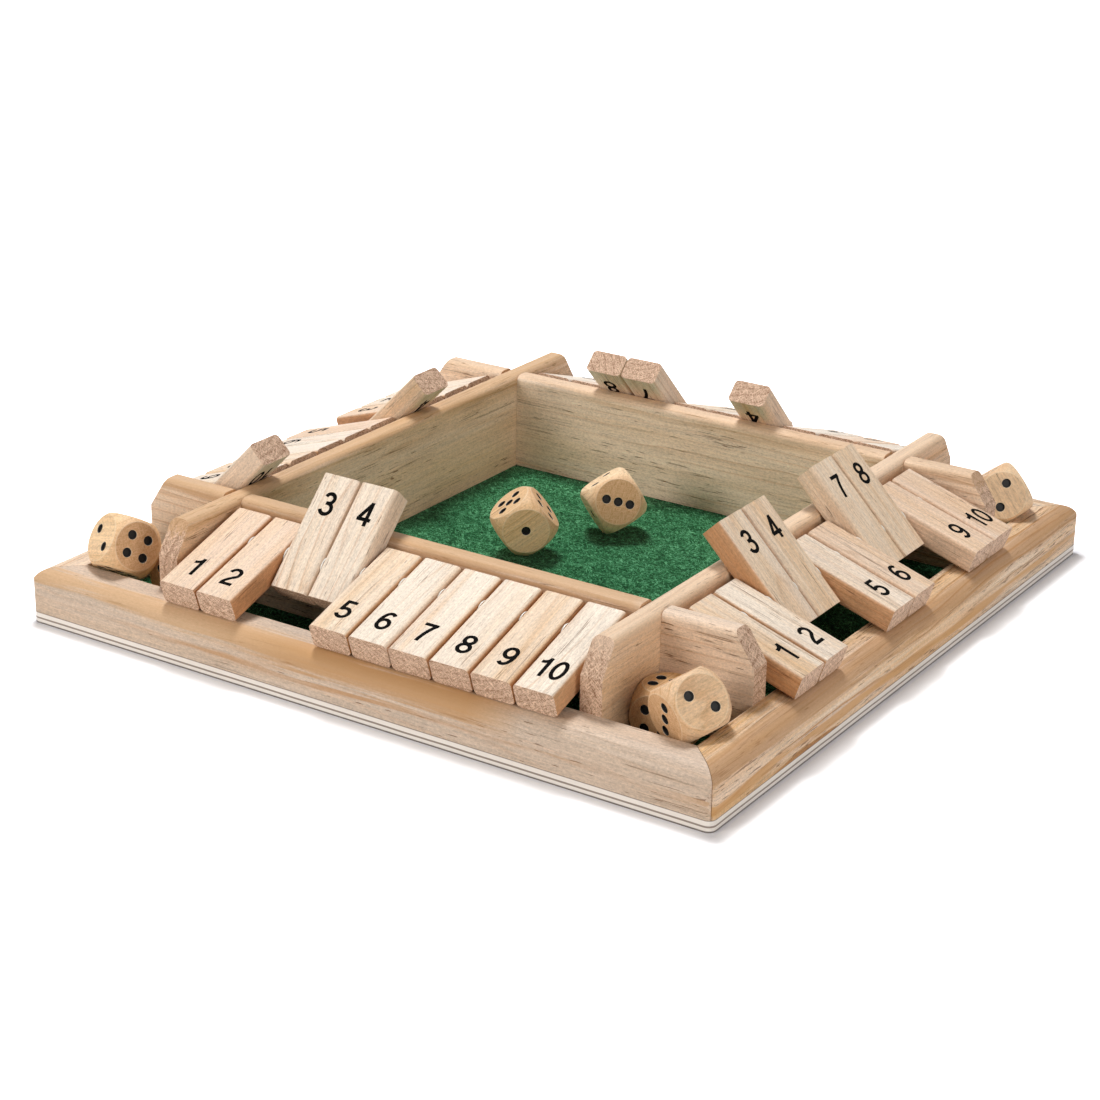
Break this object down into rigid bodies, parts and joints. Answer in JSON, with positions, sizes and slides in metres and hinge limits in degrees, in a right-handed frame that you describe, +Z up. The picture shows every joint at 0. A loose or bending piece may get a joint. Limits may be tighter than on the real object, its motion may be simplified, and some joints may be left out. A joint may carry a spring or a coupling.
{
  "type": "four-player shut the box game",
  "caption": "Square wooden flip-tile dice game: felt-lined well inside bullnosed walls, hinged number tiles on all sides, corner pockets with dice.",
  "frame": {"origin": "middle of the underside of the square base", "axes": "+Z up out of the open well, -Y towards the front row of tiles, +X towards the right row"},
  "size_m": [0.29, 0.29, 0.0626],
  "materials": {
    "base_ply": "sanded three-ply, pale faces with a thin dark middle line",
    "green_felt": "short fibrous green felt",
    "rail_wood": "clear satin on pale pine, grain along the rail",
    "wall_wood": "clear satin on pale pine, grain along the wall",
    "tile_wood": "clear satin on pale pine, sawn end grain",
    "die_wood": "smooth satin on tan wood with painted pips",
    "rod_steel": "plain drawn steel rod",
    "washer_plastic": "plain white",
    "black_print": "matt black printed numerals"
  },
  "bodies": {
    "root": {"base_board": "base_ply", "felt_mat": "green_felt", "rail_front": "rail_wood", "rail_right": "rail_wood", "rail_back": "rail_wood", "rail_left": "rail_wood", "wall_front": "wall_wood", "wall_right": "wall_wood", "wall_back": "wall_wood", "wall_left": "wall_wood", "tile_rods": "rod_steel", "tile_washers": "washer_plastic"},
    "tile_front_1": {"tile_front_1": "tile_wood"},
    "tile_front_2": {"tile_front_2": "tile_wood"},
    "tile_front_3": {"tile_front_3": "tile_wood"},
    "tile_front_4": {"tile_front_4": "tile_wood"},
    "tile_front_5": {"tile_front_5": "tile_wood"},
    "tile_front_6": {"tile_front_6": "tile_wood"},
    "tile_front_7": {"tile_front_7": "tile_wood"},
    "tile_front_8": {"tile_front_8": "tile_wood"},
    "tile_front_9": {"tile_front_9": "tile_wood"},
    "tile_front_10": {"tile_front_10": "tile_wood"},
    "tile_right_1": {"tile_right_1": "tile_wood"},
    "tile_right_2": {"tile_right_2": "tile_wood"},
    "tile_right_3": {"tile_right_3": "tile_wood"},
    "tile_right_4": {"tile_right_4": "tile_wood"},
    "tile_right_5": {"tile_right_5": "tile_wood"},
    "tile_right_6": {"tile_right_6": "tile_wood"},
    "tile_right_7": {"tile_right_7": "tile_wood"},
    "tile_right_8": {"tile_right_8": "tile_wood"},
    "tile_right_9": {"tile_right_9": "tile_wood"},
    "tile_right_10": {"tile_right_10": "tile_wood"},
    "tile_back_1": {"tile_back_1": "tile_wood"},
    "tile_back_2": {"tile_back_2": "tile_wood"},
    "tile_back_3": {"tile_back_3": "tile_wood"},
    "tile_back_4": {"tile_back_4": "tile_wood"},
    "tile_back_5": {"tile_back_5": "tile_wood"},
    "tile_back_6": {"tile_back_6": "tile_wood"},
    "tile_back_7": {"tile_back_7": "tile_wood"},
    "tile_back_8": {"tile_back_8": "tile_wood"},
    "tile_back_9": {"tile_back_9": "tile_wood"},
    "tile_back_10": {"tile_back_10": "tile_wood"},
    "tile_left_1": {"tile_left_1": "tile_wood"},
    "tile_left_2": {"tile_left_2": "tile_wood"},
    "tile_left_3": {"tile_left_3": "tile_wood"},
    "tile_left_4": {"tile_left_4": "tile_wood"},
    "tile_left_5": {"tile_left_5": "tile_wood"},
    "tile_left_6": {"tile_left_6": "tile_wood"},
    "tile_left_7": {"tile_left_7": "tile_wood"},
    "tile_left_8": {"tile_left_8": "tile_wood"},
    "tile_left_9": {"tile_left_9": "tile_wood"},
    "tile_left_10": {"tile_left_10": "tile_wood"},
    "die_well_1": {"die_well_1": "die_wood"},
    "die_well_2": {"die_well_2": "die_wood"},
    "die_front_low": {"die_front_low": "die_wood"},
    "die_front_top": {"die_front_top": "die_wood"},
    "die_left_low": {"die_left_low": "die_wood"},
    "die_left_top": {"die_left_top": "die_wood"},
    "die_right_low": {"die_right_low": "die_wood"},
    "die_right_top": {"die_right_top": "die_wood"}
  },
  "joints": [
    {"name": "hinge_front_1", "type": "hinge", "parent": "root", "child": "tile_front_1", "pos_m": [-0.07575, -0.1098, 0.0358], "axis": [-1, 0, 0], "range_deg": [0, 152.3]},
    {"name": "hinge_front_2", "type": "hinge", "parent": "root", "child": "tile_front_2", "pos_m": [-0.05892, -0.1098, 0.0358], "axis": [-1, 0, 0], "range_deg": [0, 152.3]},
    {"name": "hinge_front_3", "type": "hinge", "parent": "root", "child": "tile_front_3", "pos_m": [-0.04208, -0.1098, 0.0358], "axis": [-1, 0, 0], "range_deg": [-152.3, 0]},
    {"name": "hinge_front_4", "type": "hinge", "parent": "root", "child": "tile_front_4", "pos_m": [-0.02525, -0.1098, 0.0358], "axis": [-1, 0, 0], "range_deg": [-152.3, 0]},
    {"name": "hinge_front_5", "type": "hinge", "parent": "root", "child": "tile_front_5", "pos_m": [-0.00842, -0.1098, 0.0358], "axis": [-1, 0, 0], "range_deg": [0, 152.3]},
    {"name": "hinge_front_6", "type": "hinge", "parent": "root", "child": "tile_front_6", "pos_m": [0.00842, -0.1098, 0.0358], "axis": [-1, 0, 0], "range_deg": [0, 152.3]},
    {"name": "hinge_front_7", "type": "hinge", "parent": "root", "child": "tile_front_7", "pos_m": [0.02525, -0.1098, 0.0358], "axis": [-1, 0, 0], "range_deg": [0, 152.3]},
    {"name": "hinge_front_8", "type": "hinge", "parent": "root", "child": "tile_front_8", "pos_m": [0.04208, -0.1098, 0.0358], "axis": [-1, 0, 0], "range_deg": [0, 152.3]},
    {"name": "hinge_front_9", "type": "hinge", "parent": "root", "child": "tile_front_9", "pos_m": [0.05892, -0.1098, 0.0358], "axis": [-1, 0, 0], "range_deg": [0, 152.3]},
    {"name": "hinge_front_10", "type": "hinge", "parent": "root", "child": "tile_front_10", "pos_m": [0.07575, -0.1098, 0.0358], "axis": [-1, 0, 0], "range_deg": [0, 152.3]},
    {"name": "hinge_right_1", "type": "hinge", "parent": "root", "child": "tile_right_1", "pos_m": [0.1098, -0.07575, 0.0358], "axis": [0, -1, 0], "range_deg": [0, 152.3]},
    {"name": "hinge_right_2", "type": "hinge", "parent": "root", "child": "tile_right_2", "pos_m": [0.1098, -0.05892, 0.0358], "axis": [0, -1, 0], "range_deg": [0, 152.3]},
    {"name": "hinge_right_3", "type": "hinge", "parent": "root", "child": "tile_right_3", "pos_m": [0.1098, -0.04208, 0.0358], "axis": [0, -1, 0], "range_deg": [-152.3, 0]},
    {"name": "hinge_right_4", "type": "hinge", "parent": "root", "child": "tile_right_4", "pos_m": [0.1098, -0.02525, 0.0358], "axis": [0, -1, 0], "range_deg": [-152.3, 0]},
    {"name": "hinge_right_5", "type": "hinge", "parent": "root", "child": "tile_right_5", "pos_m": [0.1098, -0.00842, 0.0358], "axis": [0, -1, 0], "range_deg": [0, 152.3]},
    {"name": "hinge_right_6", "type": "hinge", "parent": "root", "child": "tile_right_6", "pos_m": [0.1098, 0.00842, 0.0358], "axis": [0, -1, 0], "range_deg": [0, 152.3]},
    {"name": "hinge_right_7", "type": "hinge", "parent": "root", "child": "tile_right_7", "pos_m": [0.1098, 0.02525, 0.0358], "axis": [0, -1, 0], "range_deg": [-152.3, 0]},
    {"name": "hinge_right_8", "type": "hinge", "parent": "root", "child": "tile_right_8", "pos_m": [0.1098, 0.04208, 0.0358], "axis": [0, -1, 0], "range_deg": [-152.3, 0]},
    {"name": "hinge_right_9", "type": "hinge", "parent": "root", "child": "tile_right_9", "pos_m": [0.1098, 0.05892, 0.0358], "axis": [0, -1, 0], "range_deg": [0, 152.3]},
    {"name": "hinge_right_10", "type": "hinge", "parent": "root", "child": "tile_right_10", "pos_m": [0.1098, 0.07575, 0.0358], "axis": [0, -1, 0], "range_deg": [0, 152.3]},
    {"name": "hinge_back_1", "type": "hinge", "parent": "root", "child": "tile_back_1", "pos_m": [0.07575, 0.1098, 0.0358], "axis": [1, 0, 0], "range_deg": [0, 152.3]},
    {"name": "hinge_back_2", "type": "hinge", "parent": "root", "child": "tile_back_2", "pos_m": [0.05892, 0.1098, 0.0358], "axis": [1, 0, 0], "range_deg": [0, 152.3]},
    {"name": "hinge_back_3", "type": "hinge", "parent": "root", "child": "tile_back_3", "pos_m": [0.04208, 0.1098, 0.0358], "axis": [1, 0, 0], "range_deg": [0, 152.3]},
    {"name": "hinge_back_4", "type": "hinge", "parent": "root", "child": "tile_back_4", "pos_m": [0.02525, 0.1098, 0.0358], "axis": [1, 0, 0], "range_deg": [-152.3, 0]},
    {"name": "hinge_back_5", "type": "hinge", "parent": "root", "child": "tile_back_5", "pos_m": [0.00842, 0.1098, 0.0358], "axis": [1, 0, 0], "range_deg": [0, 152.3]},
    {"name": "hinge_back_6", "type": "hinge", "parent": "root", "child": "tile_back_6", "pos_m": [-0.00842, 0.1098, 0.0358], "axis": [1, 0, 0], "range_deg": [0, 152.3]},
    {"name": "hinge_back_7", "type": "hinge", "parent": "root", "child": "tile_back_7", "pos_m": [-0.02525, 0.1098, 0.0358], "axis": [1, 0, 0], "range_deg": [-152.3, 0]},
    {"name": "hinge_back_8", "type": "hinge", "parent": "root", "child": "tile_back_8", "pos_m": [-0.04208, 0.1098, 0.0358], "axis": [1, 0, 0], "range_deg": [-152.3, 0]},
    {"name": "hinge_back_9", "type": "hinge", "parent": "root", "child": "tile_back_9", "pos_m": [-0.05892, 0.1098, 0.0358], "axis": [1, 0, 0], "range_deg": [0, 152.3]},
    {"name": "hinge_back_10", "type": "hinge", "parent": "root", "child": "tile_back_10", "pos_m": [-0.07575, 0.1098, 0.0358], "axis": [1, 0, 0], "range_deg": [0, 152.3]},
    {"name": "hinge_left_1", "type": "hinge", "parent": "root", "child": "tile_left_1", "pos_m": [-0.1098, 0.07575, 0.0358], "axis": [0, 1, 0], "range_deg": [0, 152.3]},
    {"name": "hinge_left_2", "type": "hinge", "parent": "root", "child": "tile_left_2", "pos_m": [-0.1098, 0.05892, 0.0358], "axis": [0, 1, 0], "range_deg": [0, 152.3]},
    {"name": "hinge_left_3", "type": "hinge", "parent": "root", "child": "tile_left_3", "pos_m": [-0.1098, 0.04208, 0.0358], "axis": [0, 1, 0], "range_deg": [0, 152.3]},
    {"name": "hinge_left_4", "type": "hinge", "parent": "root", "child": "tile_left_4", "pos_m": [-0.1098, 0.02525, 0.0358], "axis": [0, 1, 0], "range_deg": [-152.3, 0]},
    {"name": "hinge_left_5", "type": "hinge", "parent": "root", "child": "tile_left_5", "pos_m": [-0.1098, 0.00842, 0.0358], "axis": [0, 1, 0], "range_deg": [0, 152.3]},
    {"name": "hinge_left_6", "type": "hinge", "parent": "root", "child": "tile_left_6", "pos_m": [-0.1098, -0.00842, 0.0358], "axis": [0, 1, 0], "range_deg": [0, 152.3]},
    {"name": "hinge_left_7", "type": "hinge", "parent": "root", "child": "tile_left_7", "pos_m": [-0.1098, -0.02525, 0.0358], "axis": [0, 1, 0], "range_deg": [0, 152.3]},
    {"name": "hinge_left_8", "type": "hinge", "parent": "root", "child": "tile_left_8", "pos_m": [-0.1098, -0.04208, 0.0358], "axis": [0, 1, 0], "range_deg": [0, 152.3]},
    {"name": "hinge_left_9", "type": "hinge", "parent": "root", "child": "tile_left_9", "pos_m": [-0.1098, -0.05892, 0.0358], "axis": [0, 1, 0], "range_deg": [0, 152.3]},
    {"name": "hinge_left_10", "type": "hinge", "parent": "root", "child": "tile_left_10", "pos_m": [-0.1098, -0.07575, 0.0358], "axis": [0, 1, 0], "range_deg": [-152.3, 0]},
    {"name": "lift_well_1", "type": "slide", "parent": "root", "child": "die_well_1", "axis": [0, 0, 1], "range_m": [0, 0.07]},
    {"name": "lift_well_2", "type": "slide", "parent": "root", "child": "die_well_2", "axis": [0, 0, 1], "range_m": [0, 0.07]},
    {"name": "lift_front_low", "type": "slide", "parent": "root", "child": "die_front_low", "axis": [0, 0, 1], "range_m": [0, 0.07]},
    {"name": "lift_front_top", "type": "slide", "parent": "die_front_low", "child": "die_front_top", "axis": [0, 0, 1], "range_m": [0, 0.07]},
    {"name": "lift_left_low", "type": "slide", "parent": "root", "child": "die_left_low", "axis": [0, 0, 1], "range_m": [0, 0.07]},
    {"name": "lift_left_top", "type": "slide", "parent": "die_left_low", "child": "die_left_top", "axis": [0, 0, 1], "range_m": [0, 0.07]},
    {"name": "lift_right_low", "type": "slide", "parent": "root", "child": "die_right_low", "axis": [0, 0, 1], "range_m": [0, 0.07]},
    {"name": "lift_right_top", "type": "slide", "parent": "die_right_low", "child": "die_right_top", "axis": [0, 0, 1], "range_m": [0, 0.07]}
  ]
}
